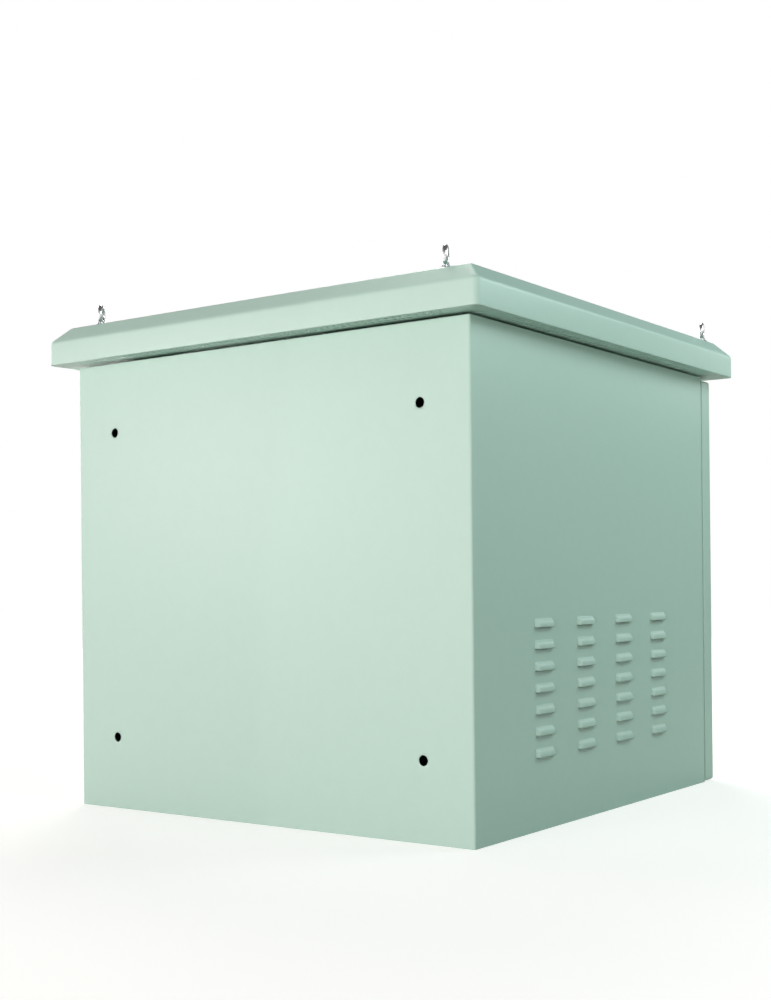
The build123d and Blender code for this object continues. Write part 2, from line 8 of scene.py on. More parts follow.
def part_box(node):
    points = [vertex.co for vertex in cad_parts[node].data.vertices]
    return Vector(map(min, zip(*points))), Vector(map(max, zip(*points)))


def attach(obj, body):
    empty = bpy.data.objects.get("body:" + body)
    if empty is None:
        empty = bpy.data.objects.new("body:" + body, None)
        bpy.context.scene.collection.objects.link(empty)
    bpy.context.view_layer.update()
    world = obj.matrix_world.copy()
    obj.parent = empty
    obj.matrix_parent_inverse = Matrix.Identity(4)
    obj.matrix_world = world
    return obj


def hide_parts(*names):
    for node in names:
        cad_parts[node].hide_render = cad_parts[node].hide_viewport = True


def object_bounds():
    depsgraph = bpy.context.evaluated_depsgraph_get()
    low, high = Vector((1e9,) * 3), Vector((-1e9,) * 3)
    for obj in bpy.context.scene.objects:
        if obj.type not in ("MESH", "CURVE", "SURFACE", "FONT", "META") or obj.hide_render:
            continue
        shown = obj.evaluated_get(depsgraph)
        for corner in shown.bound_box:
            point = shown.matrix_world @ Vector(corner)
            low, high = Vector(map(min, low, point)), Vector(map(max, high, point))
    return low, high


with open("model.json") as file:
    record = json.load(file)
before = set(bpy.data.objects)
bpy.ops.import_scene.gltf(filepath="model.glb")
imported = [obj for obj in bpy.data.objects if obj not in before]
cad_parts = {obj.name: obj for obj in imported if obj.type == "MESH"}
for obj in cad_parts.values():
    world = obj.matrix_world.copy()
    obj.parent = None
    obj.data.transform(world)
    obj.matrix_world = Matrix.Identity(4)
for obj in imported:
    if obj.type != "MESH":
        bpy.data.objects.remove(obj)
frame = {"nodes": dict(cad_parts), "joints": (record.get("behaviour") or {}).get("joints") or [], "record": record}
nodes = frame["nodes"]
cad_box = [list(corner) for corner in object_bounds()]

# The shared frame is in metres; the object's lengths are written in millimetres times MM
MM = 0.001

# Camera, solved from the corners of the body, the roof and the wall holes in the photo.
# The focal length and the principal point are in pixels, the angles in radians.
IMAGE_LONG_SIDE = 1000
IMAGE_SHORT_SIDE = 771
FOCAL_PIXELS = 1417.09
PRINCIPAL_X = 398.52
PRINCIPAL_Y = 583.75
CAMERA_PLACE = Vector((-1099.35, 1259.06, -2.08)) * MM
CAMERA_YAW = 0.6178
CAMERA_ROLL = -0.0103

# Sheet metal
SHARP_ANGLE = math.radians(32)
TOLERANCE = 0.001 * MM
SHEET = 1.5 * MM
BEND_RADIUS = 2.5 * MM
BEND_STEPS = 4
FRONT_FLANGE = 20 * MM
WALL_HOLE_COLUMNS = 470 * MM
WALL_HOLE_ROWS = 386 * MM
WALL_HOLE_RADIUS = 6 * MM
WALL_HOLE_PATCH = 9 * MM
PATCH_SHARES = (-1, -2 / 3, -1 / 3, 0, 1 / 3, 2 / 3, 1)

# Louvres; the shares place the sheet's columns over half a louvre's width and its rows down
# a louvre's height
LOUVRE_COLUMNS = 4
LOUVRE_ROWS = 7
LOUVRE_COLUMN_PITCH = 100 * MM
LOUVRE_ROW_PITCH = 24.5 * MM
LOUVRE_LOWEST_RISE = 88 * MM
LOUVRE_WIDTH = 40 * MM
LOUVRE_HEIGHT = 10 * MM
LOUVRE_DEPTH = 5 * MM
LOUVRE_FLAT_SHARE = 0.8
LOUVRE_SLOPE_SHARE = 0.75
LOUVRE_SHARES = (
    -1.05, -1, -0.985, -0.95, -0.9, -0.85, -0.8, -0.4, 0,
    0.4, 0.8, 0.85, 0.9, 0.95, 0.985, 1, 1.05,
)
LOUVRE_DROP_SHARES = (-0.1, 0, 0.1, 0.2, 0.32, 0.46, 0.6, 0.75, 0.88, 1, 1.1)

# Roof hood
ROOF_BEVEL_RISE = 20 * MM
ROOF_BEVEL_RUN = 20.5 * MM
ROOF_FASCIA_RADIUS = 8 * MM
ROOF_CROWN_RADIUS = 4 * MM
ROOF_BEND = 3 * MM
BEND_SHARES = (0, 0.2, 0.4, 0.6, 0.8, 1)
CORNER_STEPS = 8

# Perforated strips that close the eaves
VENT_MARGIN = 42 * MM
VENT_PITCH = 10 * MM
VENT_STEPS = 4
VENT_ROW_DEPTHS = (7 * MM, 18 * MM)
VENT_ROW_HALF = 4 * MM
VENT_HOLE_RADIUS = 2 * MM
VENT_THICKNESS = 1 * MM
ROOF_CORNER = 6.5 * MM
CORNER_SHARES = (0, 0.06, 0.2, 0.4, 0.65, 1)

# Lifting eyes; the collar's section is a radius and a height above the roof, in millimetres
EYE_RING_RADIUS = 10 * MM
EYE_RING_STEPS = 40
EYE_BAR_RADIUS = 3 * MM
EYE_BAR_STEPS = 16
EYE_SHANK_RADIUS = 3 * MM
EYE_SHANK_LENGTH = 12 * MM
EYE_SHANK_STEPS = 32
EYE_THREAD_PITCH = 1.0 * MM
EYE_THREAD_DEPTH = 0.5 * MM
EYE_COLLAR = (
    (3, -0.4), (7.6, 0.0), (8, 0.4), (8, 1.0), (7.2, 1.6),
    (5.4, 2.8), (4.6, 4.0), (4.0, 5.4), (2.0, 6.8),
)

# Fasteners; a screw's section is shares of its radius and of its head's height
RAIL_THICKNESS = 2 * MM
RAIL_BOLT_INSET = 12 * MM
PLATE_BOLT_INSET = 10 * MM
HINGE_LEAF = 2.5 * MM
HINGE_HALF_HEIGHT = 34 * MM
HINGE_SCREW_SPREAD = 9 * MM
HINGE_FRAME_INSET = 13 * MM
HINGE_DOOR_INSET = 8 * MM
M6_FLATS = 10 * MM
M6_HEAD = 4 * MM
M6_NUT = 5 * MM
M6_WASHER_RADIUS = 6 * MM
HEX_SIDES = 6
HEX_CHAMFER_DROP = 0.12
HEX_CHAMFER_REACH = 0.88
WASHER = 1.2 * MM
WASHER_SIDE_SHARE = 0.8
WASHER_TOP_SHARE = 0.96
ROUND_STEPS = 24
SCREW_RADIUS = 3.6 * MM
SCREW_HEAD = 1.8 * MM
SCREW_SECTION = ((1, 0), (1, 0.35), (0.9, 0.7), (0.66, 0.95), (0.46, 1), (0.42, 0.95), (0.38, 0.4))

# Rounding of the edges of the CAD nodes that stay, in millimetres
EDGE_STEPS = 3
EDGE_WIDTHS = {
    "door_panel": 0.6, "top_panel": 0.5, "bottom_panel": 0.5, "gland_plate": 0.4,
    "lintel": 0.5, "sill": 0.5,
    "lock_handle": 1.6, "lock_housing": 1.0, "lock_nut": 0.6, "lock_cam": 0.6,
    "hinge_lower_frame_half": 0.5, "hinge_lower_door_half": 0.5,
    "hinge_upper_frame_half": 0.5, "hinge_upper_door_half": 0.5,
    "rack_rail_left": 0.4, "rack_rail_right": 0.4, "roof_brackets": 0.4,
    "rail_support_lower_left": 0.4, "rail_support_lower_right": 0.4,
    "rail_support_upper_left": 0.4, "rail_support_upper_right": 0.4,
    "filter_frame_left": 0.3, "filter_frame_right": 0.3,
    "door_stiffener_left": 0.5, "door_stiffener_right": 0.5,
}

# Paint and metals, linear colours
SAGE = (0.408, 0.600, 0.512, 1)
SAGE_DEEP = (0.400, 0.592, 0.504, 1)
# Paler colour for folds and edges: partly thin paint, partly a painted highlight
SAGE_THIN_AND_HIGHLIGHT = (0.580, 0.730, 0.660, 1)
ZINC = (0.56, 0.57, 0.58, 1)
ZINC_DULL = (0.40, 0.41, 0.43, 1)
CHROME = (0.80, 0.80, 0.81, 1)
CHROME_DULL = (0.66, 0.66, 0.67, 1)
RUBBER = (0.016, 0.017, 0.018, 1)
RUBBER_WORN = (0.035, 0.036, 0.037, 1)
FOAM = (0.030, 0.032, 0.034, 1)
FOAM_PALE = (0.085, 0.088, 0.090, 1)

# Radius that the coat gives to folds and edges, how much of the paler edge colour (thin paint and a painted
# highlight) an edge takes, and the cosines between the flat and the rounded normal that count as an edge and as a
# flat
PAINT_ROUNDING = 2.2 * MM
PAINT_THIN_AND_HIGHLIGHT_SHARE = 0.5
ROUNDING_SAMPLES = 8
EDGE_COSINE = 0.75
FLAT_COSINE = 0.99

# Studio, in metres; the overhead heights are the upward part of a mirrored direction
AMBIENT_LEVEL = 0.37
AMBIENT_OVERHEAD = 0.05
MIRRORED_FRONT = 0.35
MIRRORED_BACK = 1.0
MIRRORED_OVERHEAD = 0.15
OVERHEAD_START = 0.2
OVERHEAD_END = 0.7
FLOOR_HALF_SIZE = 12.0
FLOOR_COLOUR = (0.60, 0.60, 0.57, 1)
FLOOR_LIFT_NEAR = 0.55
FLOOR_LIFT_FAR = 0.92
FLOOR_NEAR = 0.8
FLOOR_FAR = 2.6
FLOOR_MIRRORED = 0.7
FLOOR_MIRRORED_DEPTH = 0.4

# Lamps, in metres and watts
KEY_TINT = (1.0, 0.84, 0.865)
FILL_TINT = (0.84, 1.0, 1.0)
PLAIN_TINT = (1.0, 0.98, 0.96)
KEY_PLACE = (-0.2, 4.5, 0.45)
KEY_TARGET = (0, 0, 0)
KEY_SIZE = (4.4, 1.3)
KEY_POWER = 178
KEY_SHEEN_POWER = 50


class Finish:
    """A node material while it is being put together."""

    def __init__(self, name):
        self.material = bpy.data.materials.new(name)
        self.material.use_nodes = True
        self.tree = self.material.node_tree
        self.shader = self.tree.nodes["Principled BSDF"]
        self.place = self.add("ShaderNodeTexCoord").outputs["Object"]

    def add(self, kind, **settings):
        """New node with the given settings."""
        node = self.tree.nodes.new(kind)
        for name, value in settings.items():
            setattr(node, name, value)
        return node

    def link(self, source, target):
        """Join an output to an input."""
        self.tree.links.new(source, target)

    def noise(self, scale, detail, stretch=(1, 1, 1)):
        """Noise in the object's own space, between 0 and 1."""
        mapping = self.add("ShaderNodeMapping")
        mapping.inputs["Scale"].default_value = stretch
        self.link(self.place, mapping.inputs["Vector"])
        node = self.add("ShaderNodeTexNoise")
        node.inputs["Scale"].default_value = scale
        node.inputs["Detail"].default_value = detail
        self.link(mapping.outputs["Vector"], node.inputs["Vector"])
        return node.outputs["Fac"]

    def cells(self, scale):
        """Distance to the nearest point of a cell pattern."""
        node = self.add("ShaderNodeTexVoronoi")
        node.inputs["Scale"].default_value = scale
        self.link(self.place, node.inputs["Vector"])
        return node.outputs["Distance"]

    def band(self, factor, low=0, high=1, start=0.3, end=0.7):
        """Factor from start to end turned into a value from low to high."""
        node = self.add("ShaderNodeMapRange")
        node.inputs["From Min"].default_value = start
        node.inputs["From Max"].default_value = end
        node.inputs["To Min"].default_value = low
        node.inputs["To Max"].default_value = high
        self.link(factor, node.inputs["Value"])
        return node.outputs["Result"]

    def blend(self, factor, first, second):
        """Colour between first and second; each is a colour or an output."""
        node = self.add("ShaderNodeMix", data_type="RGBA")
        sockets = {socket.identifier: socket for socket in node.inputs}
        self.link(factor, sockets["Factor_Float"])
        for name, value in (("A_Color", first), ("B_Color", second)):
            if isinstance(value, tuple):
                sockets[name].default_value = value
            else:
                self.link(value, sockets[name])
        return next(socket for socket in node.outputs if socket.identifier == "Result_Color")

    def bump(self, height, depth, strength, below=None):
        """Bump from a height, laid over the normal of an earlier bump."""
        node = self.add("ShaderNodeBump")
        node.inputs["Strength"].default_value = strength
        node.inputs["Distance"].default_value = depth
        self.link(height, node.inputs["Height"])
        if below is not None:
            self.link(below, node.inputs["Normal"])
        return node.outputs["Normal"]

    def rounded(self, radius):
        """Normal that runs smoothly round the folds and edges."""
        node = self.add("ShaderNodeBevel", samples=ROUNDING_SAMPLES)
        node.inputs["Radius"].default_value = radius
        return node.outputs["Normal"]

    def edge(self, rounded):
        """Value that rises from 0 on a flat to 1 on a sharp edge."""
        geometry = self.add("ShaderNodeNewGeometry")
        cosine = self.add("ShaderNodeVectorMath", operation="DOT_PRODUCT")
        self.link(rounded, cosine.inputs[0])
        self.link(geometry.outputs["Normal"], cosine.inputs[1])
        return self.band(cosine.outputs["Value"], low=1, high=0, start=EDGE_COSINE, end=FLAT_COSINE)

    def set(self, **values):
        """Constant values, set on the shader's own sockets."""
        for name, value in values.items():
            self.shader.inputs[name.replace("_", " ")].default_value = value

    def colour(self, output):
        """Join an output to the shader's colour."""
        self.link(output, self.shader.inputs["Base Color"])

    def roughness(self, output):
        """Join an output to the shader's roughness."""
        self.link(output, self.shader.inputs["Roughness"])

    def normal(self, output):
        """Join an output to the shader's normal."""
        self.link(output, self.shader.inputs["Normal"])


def powder_coat():
    """Sage powder coat: orange peel, faint mottling, and edges painted paler, partly as thin paint and partly as a
    painted highlight.
    """
    finish = Finish("powder_coat")
    mottling = finish.band(finish.noise(scale=60, detail=4))
    mottled = finish.blend(mottling, SAGE_DEEP, SAGE)
    fold = finish.rounded(PAINT_ROUNDING)
    # Folds and edges are painted paler: partly thin paint, partly a painted highlight along them
    thin_and_highlight = finish.band(finish.edge(fold), high=PAINT_THIN_AND_HIGHLIGHT_SHARE, start=0, end=1)
    finish.colour(finish.blend(thin_and_highlight, mottled, SAGE_THIN_AND_HIGHLIGHT))
    finish.roughness(finish.band(finish.noise(scale=140, detail=3), low=0.33, high=0.37))
    coarse = finish.noise(scale=420, detail=1)
    peel = finish.bump(coarse, depth=0.15 * MM, strength=0.06, below=fold)
    fine = finish.noise(scale=1500, detail=1)
    finish.normal(finish.bump(fine, depth=0.05 * MM, strength=0.06, below=peel))
    finish.set(IOR=1.55)
    return finish.material


def zinc_plate():
    """Zinc-plated steel with a soft spangle."""
    finish = Finish("zinc_plate")
    spangle = finish.band(finish.cells(scale=160), start=0.1, end=0.7)
    finish.colour(finish.blend(spangle, ZINC, ZINC_DULL))
    finish.roughness(finish.band(finish.noise(scale=90, detail=3), low=0.30, high=0.46))
    rolled = finish.noise(scale=600, detail=2, stretch=(1, 1, 0.08))
    finish.normal(finish.bump(rolled, depth=0.05 * MM, strength=0.12))
    finish.set(Metallic=1.0)
    return finish.material


def chrome_plate():
    """Bright plated metal with fine handling marks."""
    finish = Finish("chrome_plate")
    clouding = finish.band(finish.noise(scale=300, detail=3))
    finish.colour(finish.blend(clouding, CHROME, CHROME_DULL))
    finish.roughness(finish.band(finish.noise(scale=220, detail=4), low=0.08, high=0.20))
    marks = finish.noise(scale=900, detail=2, stretch=(1, 0.15, 1))
    finish.normal(finish.bump(marks, depth=0.03 * MM, strength=0.10))
    finish.set(Metallic=1.0)
    return finish.material


def seal_rubber():
    """Black sealing rubber, matt and a little dusty."""
    finish = Finish("seal_rubber")
    dust = finish.band(finish.noise(scale=60, detail=4))
    finish.colour(finish.blend(dust, RUBBER, RUBBER_WORN))
    finish.roughness(finish.band(finish.noise(scale=150, detail=3), low=0.62, high=0.85))
    grain = finish.noise(scale=800, detail=2)
    finish.normal(finish.bump(grain, depth=0.1 * MM, strength=0.25))
    return finish.material


def filter_foam():
    """Open-cell filter mat."""
    finish = Finish("filter_foam")
    pores = finish.cells(scale=520)
    finish.colour(finish.blend(finish.band(pores, start=0.1, end=0.6), FOAM, FOAM_PALE))
    finish.roughness(finish.band(finish.noise(scale=200, detail=2), low=0.85, high=1.0))
    finish.normal(finish.bump(pores, depth=1.0 * MM, strength=0.8))
    return finish.material


finishes = {
    "paint": powder_coat(),
    "zinc": zinc_plate(),
    "bright_metal": chrome_plate(),
    "seal": seal_rubber(),
    "filter_foam": filter_foam(),
}


def dress(piece, slot):
    """Give a piece the one finish of a material slot."""
    piece.data.materials.clear()
    piece.data.materials.append(finishes[slot])


def new_piece(name, bm, slot, body):
    """Turn a bmesh into a finished piece that rides on a body."""
    mesh = bpy.data.meshes.new(name)
    bm.to_mesh(mesh)
    bm.free()
    mesh.shade_smooth()
    mesh.set_sharp_from_angle(angle=SHARP_ANGLE)
    piece = bpy.data.objects.new(name, mesh)
    bpy.context.scene.collection.objects.link(piece)
    dress(piece, slot)
    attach(piece, body)
    return piece


def thicken(piece, thickness):
    """Give a sheet its thickness, inwards from its outer face."""
    solid = piece.modifiers.new("sheet", "SOLIDIFY")
    solid.thickness = thickness
    solid.offset = -1
    flats = piece.modifiers.new("flats", "WEIGHTED_NORMAL")
    flats.keep_sharp = True


def distinct(values):
    """Sorted values, with near repeats taken out."""
    kept = []
    for value in sorted(values):
        if not kept or value - kept[-1] > TOLERANCE:
            kept.append(value)
    return kept


def punched_grid(columns, rows, place, holes, cut=lambda s, t: False):
    """Sheet of quads over columns and rows, with round holes and slits.

    place(s, t, above) gives the point; where cut(s, t) is true the face above a row is torn
    from the face below it. Each hole is (s, t, half_s, half_t, radius).
    """
    bm = bmesh.new()
    found = {}

    def vertex(i, k, above):
        """Vertex at a crossing; on a slit, one for the face above it and one for the face below."""
        s = columns[i]
        t = rows[k]
        torn = above and cut(s, t)
        key = (i, k, torn)
        if key not in found:
            found[key] = bm.verts.new(place(s, t, torn))
        return found[key]

    def in_hole(i, k):
        """True where a quad lies in the square patch round a hole."""
        s = (columns[i] + columns[i + 1]) / 2
        t = (rows[k] + rows[k + 1]) / 2
        return any(
            abs(s - hole_s) < half_s and abs(t - hole_t) < half_t
            for hole_s, hole_t, half_s, half_t, radius in holes
        )

    for i in range(len(columns) - 1):
        for k in range(len(rows) - 1):
            if in_hole(i, k):
                continue
            lower = [vertex(i, k, True), vertex(i + 1, k, True)]
            upper = [vertex(i + 1, k + 1, False), vertex(i, k + 1, False)]
            bm.faces.new(lower + upper)
    for s, t, half_s, half_t, radius in holes:
        inside_s = [i for i, value in enumerate(columns) if abs(value - s) < half_s + TOLERANCE]
        inside_t = [k for k, value in enumerate(rows) if abs(value - t) < half_t + TOLERANCE]
        loop = [(i, inside_t[0]) for i in inside_s]
        loop += [(inside_s[-1], k) for k in inside_t[1:]]
        loop += [(i, inside_t[-1]) for i in reversed(inside_s[:-1])]
        loop += [(inside_s[0], k) for k in reversed(inside_t[1:-1])]
        rim = []
        for i, k in loop:
            angle = math.atan2(rows[k] - t, columns[i] - s)
            rim_s = s + radius * math.cos(angle)
            rim_t = t + radius * math.sin(angle)
            rim.append(bm.verts.new(place(rim_s, rim_t, False)))
        for n, (i, k) in enumerate(loop):
            far = (n + 1) % len(loop)
            bm.faces.new((vertex(i, k, False), vertex(*loop[far], False), rim[far], rim[n]))
    return bm


def lathe(bm, profile, steps, matrix, closed=False):
    """Turn a profile of (radius, height) points about the Z axis of a matrix."""
    rings = []
    for radius, height in profile:
        turned = []
        for n in range(steps):
            angle = 2 * math.pi * n / steps
            point = Vector((radius * math.cos(angle), radius * math.sin(angle), height))
            turned.append(bm.verts.new(matrix @ point))
        rings.append(turned)
    pairs = list(zip(rings, rings[1:]))
    if closed:
        pairs.append((rings[-1], rings[0]))
    else:
        bm.faces.new(list(reversed(rings[0])))
        bm.faces.new(rings[-1])
    for low, high in pairs:
        for n in range(steps):
            far = (n + 1) % steps
            bm.faces.new((low[n], low[far], high[far], high[n]))


def facing(place, axis):
    """Matrix at a place whose Z axis points along an axis."""
    return Matrix.Translation(place) @ Vector(axis).to_track_quat("Z", "X").to_matrix().to_4x4()


def body_sheet():
    """Back, sides and front flanges folded from one sheet, with the louvres pressed out."""
    low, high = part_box("body_shell")
    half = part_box("door_panel")[1].x
    front = low.y
    straight_side = high.y - low.y - 2 * BEND_RADIUS
    straight_back = 2 * (half - BEND_RADIUS)
    straight_flange = FRONT_FLANGE - BEND_RADIUS
    bend = BEND_RADIUS * math.pi / 2
    corner = half - BEND_RADIUS
    # Each stretch: length, start or centre, and the direction of its outer face in degrees
    stretches = [
        (straight_flange, Vector((-half + FRONT_FLANGE, front, 0)), -90),
        (bend, Vector((-corner, front + BEND_RADIUS, 0)), -90),
        (straight_side, Vector((-half, front + BEND_RADIUS, 0)), -180),
        (bend, Vector((-corner, -BEND_RADIUS, 0)), -180),
        (straight_back, Vector((-corner, 0, 0)), -270),
        (bend, Vector((corner, -BEND_RADIUS, 0)), -270),
        (straight_side, Vector((half, -BEND_RADIUS, 0)), -360),
        (bend, Vector((corner, front + BEND_RADIUS, 0)), -360),
        (straight_flange, Vector((corner, front, 0)), -450),
    ]
    bends = (1, 3, 5, 7)
    left_side = 2
    back = 4
    right_side = 6
    starts = [sum(stretch[0] for stretch in stretches[:n]) for n in range(len(stretches))]
    middle_left = starts[left_side] + straight_side / 2
    middle_back = starts[back] + straight_back / 2
    middle_right = starts[right_side] + straight_side / 2
    across = [(n - (LOUVRE_COLUMNS - 1) / 2) * LOUVRE_COLUMN_PITCH for n in range(LOUVRE_COLUMNS)]
    louvre_s = [middle + step for middle in (middle_left, middle_right) for step in across]
    louvre_t = [low.z + LOUVRE_LOWEST_RISE + n * LOUVRE_ROW_PITCH for n in range(LOUVRE_ROWS)]

    def swell(s, t):
        """How far the sheet is pressed out at a place."""
        u = min(abs(s - centre) for centre in louvre_s) / (LOUVRE_WIDTH / 2)
        drop = min((centre - t for centre in louvre_t), key=abs)
        v = drop / LOUVRE_HEIGHT + 0.5
        if u >= 1 or not 0 < v < 1 + TOLERANCE:
            return 0
        end = max(0, (u - LOUVRE_FLAT_SHARE) / (1 - LOUVRE_FLAT_SHARE))
        slope = max(0, 1 - v / LOUVRE_SLOPE_SHARE)
        return LOUVRE_DEPTH * math.sqrt(1 - end * end) * (1 - slope ** 2)

    def is_lip(s, t):
        """True on the open lower edge of a louvre."""
        at_row = any(abs(centre - LOUVRE_HEIGHT / 2 - t) < TOLERANCE for centre in louvre_t)
        return at_row and swell(s, t) > 0

    def place(s, t, above):
        """Point of the outer face at a length along the fold and a height."""
        n = max(n for n, start in enumerate(starts) if s > start - TOLERANCE)
        length, origin, angle = stretches[n]
        along = s - starts[n]
        if n in bends:
            turned = math.radians(angle - 90 * along / length)
            outward = Vector((math.cos(turned), math.sin(turned), 0))
            point = origin + BEND_RADIUS * outward
        else:
            turned = math.radians(angle)
            outward = Vector((math.cos(turned), math.sin(turned), 0))
            point = origin + along * Vector((outward.y, -outward.x, 0))
        pressed = 0 if is_lip(s, t) and not above else swell(s, t)
        return point + pressed * outward + Vector((0, 0, t))

    hole_x = [sign * WALL_HOLE_COLUMNS / 2 for sign in (-1, 1)]
    hole_z = [sign * WALL_HOLE_ROWS / 2 for sign in (-1, 1)]
    patch = [share * WALL_HOLE_PATCH for share in PATCH_SHARES]
    columns = [0, starts[-1] + straight_flange]
    for n in bends:
        columns += [starts[n] + bend * step / BEND_STEPS for step in range(BEND_STEPS + 1)]
    for centre in louvre_s:
        columns += [centre + share * LOUVRE_WIDTH / 2 for share in LOUVRE_SHARES]
    for x in hole_x:
        columns += [middle_back + x + step for step in patch]
    rows = [low.z, high.z]
    for centre in louvre_t:
        rows += [centre + LOUVRE_HEIGHT * (0.5 - share) for share in LOUVRE_DROP_SHARES]
    for z in hole_z:
        rows += [z + step for step in patch]
    holes = []
    for x in hole_x:
        for z in hole_z:
            holes.append((middle_back + x, z, WALL_HOLE_PATCH, WALL_HOLE_PATCH, WALL_HOLE_RADIUS))
    bm = punched_grid(distinct(columns), distinct(rows), place, holes, is_lip)
    bmesh.ops.reverse_faces(bm, faces=bm.faces)
    piece = new_piece("body_sheet", bm, "paint", "cabinet")
    thicken(piece, SHEET)
    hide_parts("body_shell")


def vent_strip(node, along, outward):
    """Angle strip inside the fascia, with two staggered rows of round holes."""
    low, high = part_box(node)
    along = Vector(along)
    outward = Vector(outward)
    size = high - low
    length = abs(size.dot(along))
    width = abs(size.dot(outward))
    edge = (low + high) / 2 + outward * width / 2
    rounded = abs(along.x) > 0
    count = int((length - 2 * VENT_MARGIN) / VENT_PITCH)
    first = -count * VENT_PITCH / 2
    columns = [first + n * VENT_PITCH / VENT_STEPS for n in range(VENT_STEPS * count + 1)]
    for sign in (-1, 1):
        columns += [sign * (length / 2 - ROOF_CORNER * share) for share in CORNER_SHARES]
    rows = [-size.z, 0, width]
    rows += [depth + step * VENT_ROW_HALF for depth in VENT_ROW_DEPTHS for step in (-1, 0, 1)]
    holes = []
    for row, depth in enumerate(VENT_ROW_DEPTHS):
        for n in range(count - row):
            centre = first + (n + 0.5 + row / 2) * VENT_PITCH
            holes.append((centre, depth, VENT_PITCH / 2, VENT_ROW_HALF, VENT_HOLE_RADIUS))

    def place(s, t, above):
        """Point at a depth from the fascia; a depth below zero runs up the leg."""
        over = abs(s) - (length / 2 - ROOF_CORNER)
        pull = 0
        if rounded and over > 0:
            pull = ROOF_CORNER - math.sqrt(max(0, ROOF_CORNER ** 2 - over ** 2))
        point = edge + along * s - outward * max(t, pull)
        return Vector((point.x, point.y, low.z + max(-t, 0)))

    bm = punched_grid(distinct(columns), distinct(rows), place, holes)
    bmesh.ops.remove_doubles(bm, verts=bm.verts, dist=TOLERANCE)
    bmesh.ops.recalc_face_normals(bm, faces=bm.faces)
    if sum(face.normal.z * face.calc_area() for face in bm.faces) > 0:
        bmesh.ops.reverse_faces(bm, faces=bm.faces)
    piece = new_piece(node + "_punched", bm, "paint", "cabinet")
    thicken(piece, VENT_THICKNESS)
    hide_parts(node)


def roof_sheet():
    """Roof hood folded from one sheet: fascia, bevel and flat top, with rounded folds."""
    low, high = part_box("roof_hood")
    middle = (low + high) / 2
    half_x = (high.x - low.x) / 2
    half_y = (high.y - low.y) / 2
    slope = Vector((ROOF_BEVEL_RUN, ROOF_BEVEL_RISE)).normalized()
    lower_fold = Vector((0, high.z - ROOF_BEVEL_RISE))
    upper_fold = Vector((ROOF_BEVEL_RUN, high.z))
    folds = ((lower_fold, Vector((0, 1)), slope), (upper_fold, slope, Vector((1, 0))))
    # Points of the section: how far in from the fascia, and the height
    section = [Vector((0, low.z))]
    for fold, arriving, leaving in folds:
        before = fold - arriving * ROOF_BEND
        after = fold + leaving * ROOF_BEND
        for share in BEND_SHARES:
            section.append(before.lerp(fold, share).lerp(fold.lerp(after, share), share))
    bm = bmesh.new()
    rings = []
    for inset, z in section:
        share = min(inset / ROOF_BEVEL_RUN, 1)
        radius = ROOF_FASCIA_RADIUS + (ROOF_CROWN_RADIUS - ROOF_FASCIA_RADIUS) * share
        ring = []
        for quarter, (side_x, side_y) in enumerate(((1, 1), (-1, 1), (-1, -1), (1, -1))):
            centre_x = middle.x + side_x * (half_x - inset - radius)
            centre_y = middle.y + side_y * (half_y - inset - radius)
            for step in range(CORNER_STEPS + 1):
                angle = (quarter + step / CORNER_STEPS) * math.pi / 2
                x = centre_x + radius * math.cos(angle)
                y = centre_y + radius * math.sin(angle)
                ring.append(bm.verts.new((x, y, z)))
        rings.append(ring)
    for lower, upper in zip(rings, rings[1:]):
        for n in range(len(lower)):
            far = (n + 1) % len(lower)
            bm.faces.new((lower[n], lower[far], upper[far], upper[n]))
    bm.faces.new(rings[-1])
    piece = new_piece("roof_sheet", bm, "paint", "cabinet")
    thicken(piece, SHEET)
    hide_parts("roof_hood")


def lifting_eyes():
    """The record's mounts for the lifting eyes, each at the centre of its ring."""
    return [mount for mount in frame["record"]["mounts"] if mount["name"].startswith("lifting_eye")]


def eye_bolts():
    """Forged lifting eyes: ring, flared collar and threaded shank."""
    bm = bmesh.new()
    roof_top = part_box("roof_hood")[1].z
    bar = []
    for n in range(EYE_BAR_STEPS):
        angle = 2 * math.pi * n / EYE_BAR_STEPS
        radius = EYE_RING_RADIUS + EYE_BAR_RADIUS * math.cos(angle)
        bar.append((radius, EYE_BAR_RADIUS * math.sin(angle)))
    threads = int(EYE_SHANK_LENGTH / EYE_THREAD_PITCH)
    shank = []
    for n, share in enumerate([1, 0] * threads):
        radius = EYE_SHANK_RADIUS - share * EYE_THREAD_DEPTH
        shank.append((radius, -EYE_SHANK_LENGTH + n * EYE_THREAD_PITCH / 2))
    collar = [(radius * MM, height * MM) for radius, height in EYE_COLLAR]
    for mount in lifting_eyes():
        centre = Vector(mount["pos_m"])
        foot = Matrix.Translation((centre.x, centre.y, roof_top))
        lathe(bm, bar, EYE_RING_STEPS, facing(centre, mount["axis"]), closed=True)
        lathe(bm, shank + collar, EYE_SHANK_STEPS, foot)
    piece = new_piece("eye_bolts_forged", bm, "bright_metal", "cabinet")
    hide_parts("eye_bolts")


def soften(name, width):
    """Round the edges of a CAD node a little; its own mesh stays as it is."""
    piece = nodes[name]
    weld = piece.modifiers.new("weld", "WELD")
    weld.merge_threshold = TOLERANCE
    bevel = piece.modifiers.new("edges", "BEVEL")
    bevel.width = width
    bevel.segments = EDGE_STEPS
    bevel.limit_method = "ANGLE"
    bevel.angle_limit = SHARP_ANGLE
    bevel.use_clamp_overlap = True
    flats = piece.modifiers.new("flats", "WEIGHTED_NORMAL")
    flats.keep_sharp = False


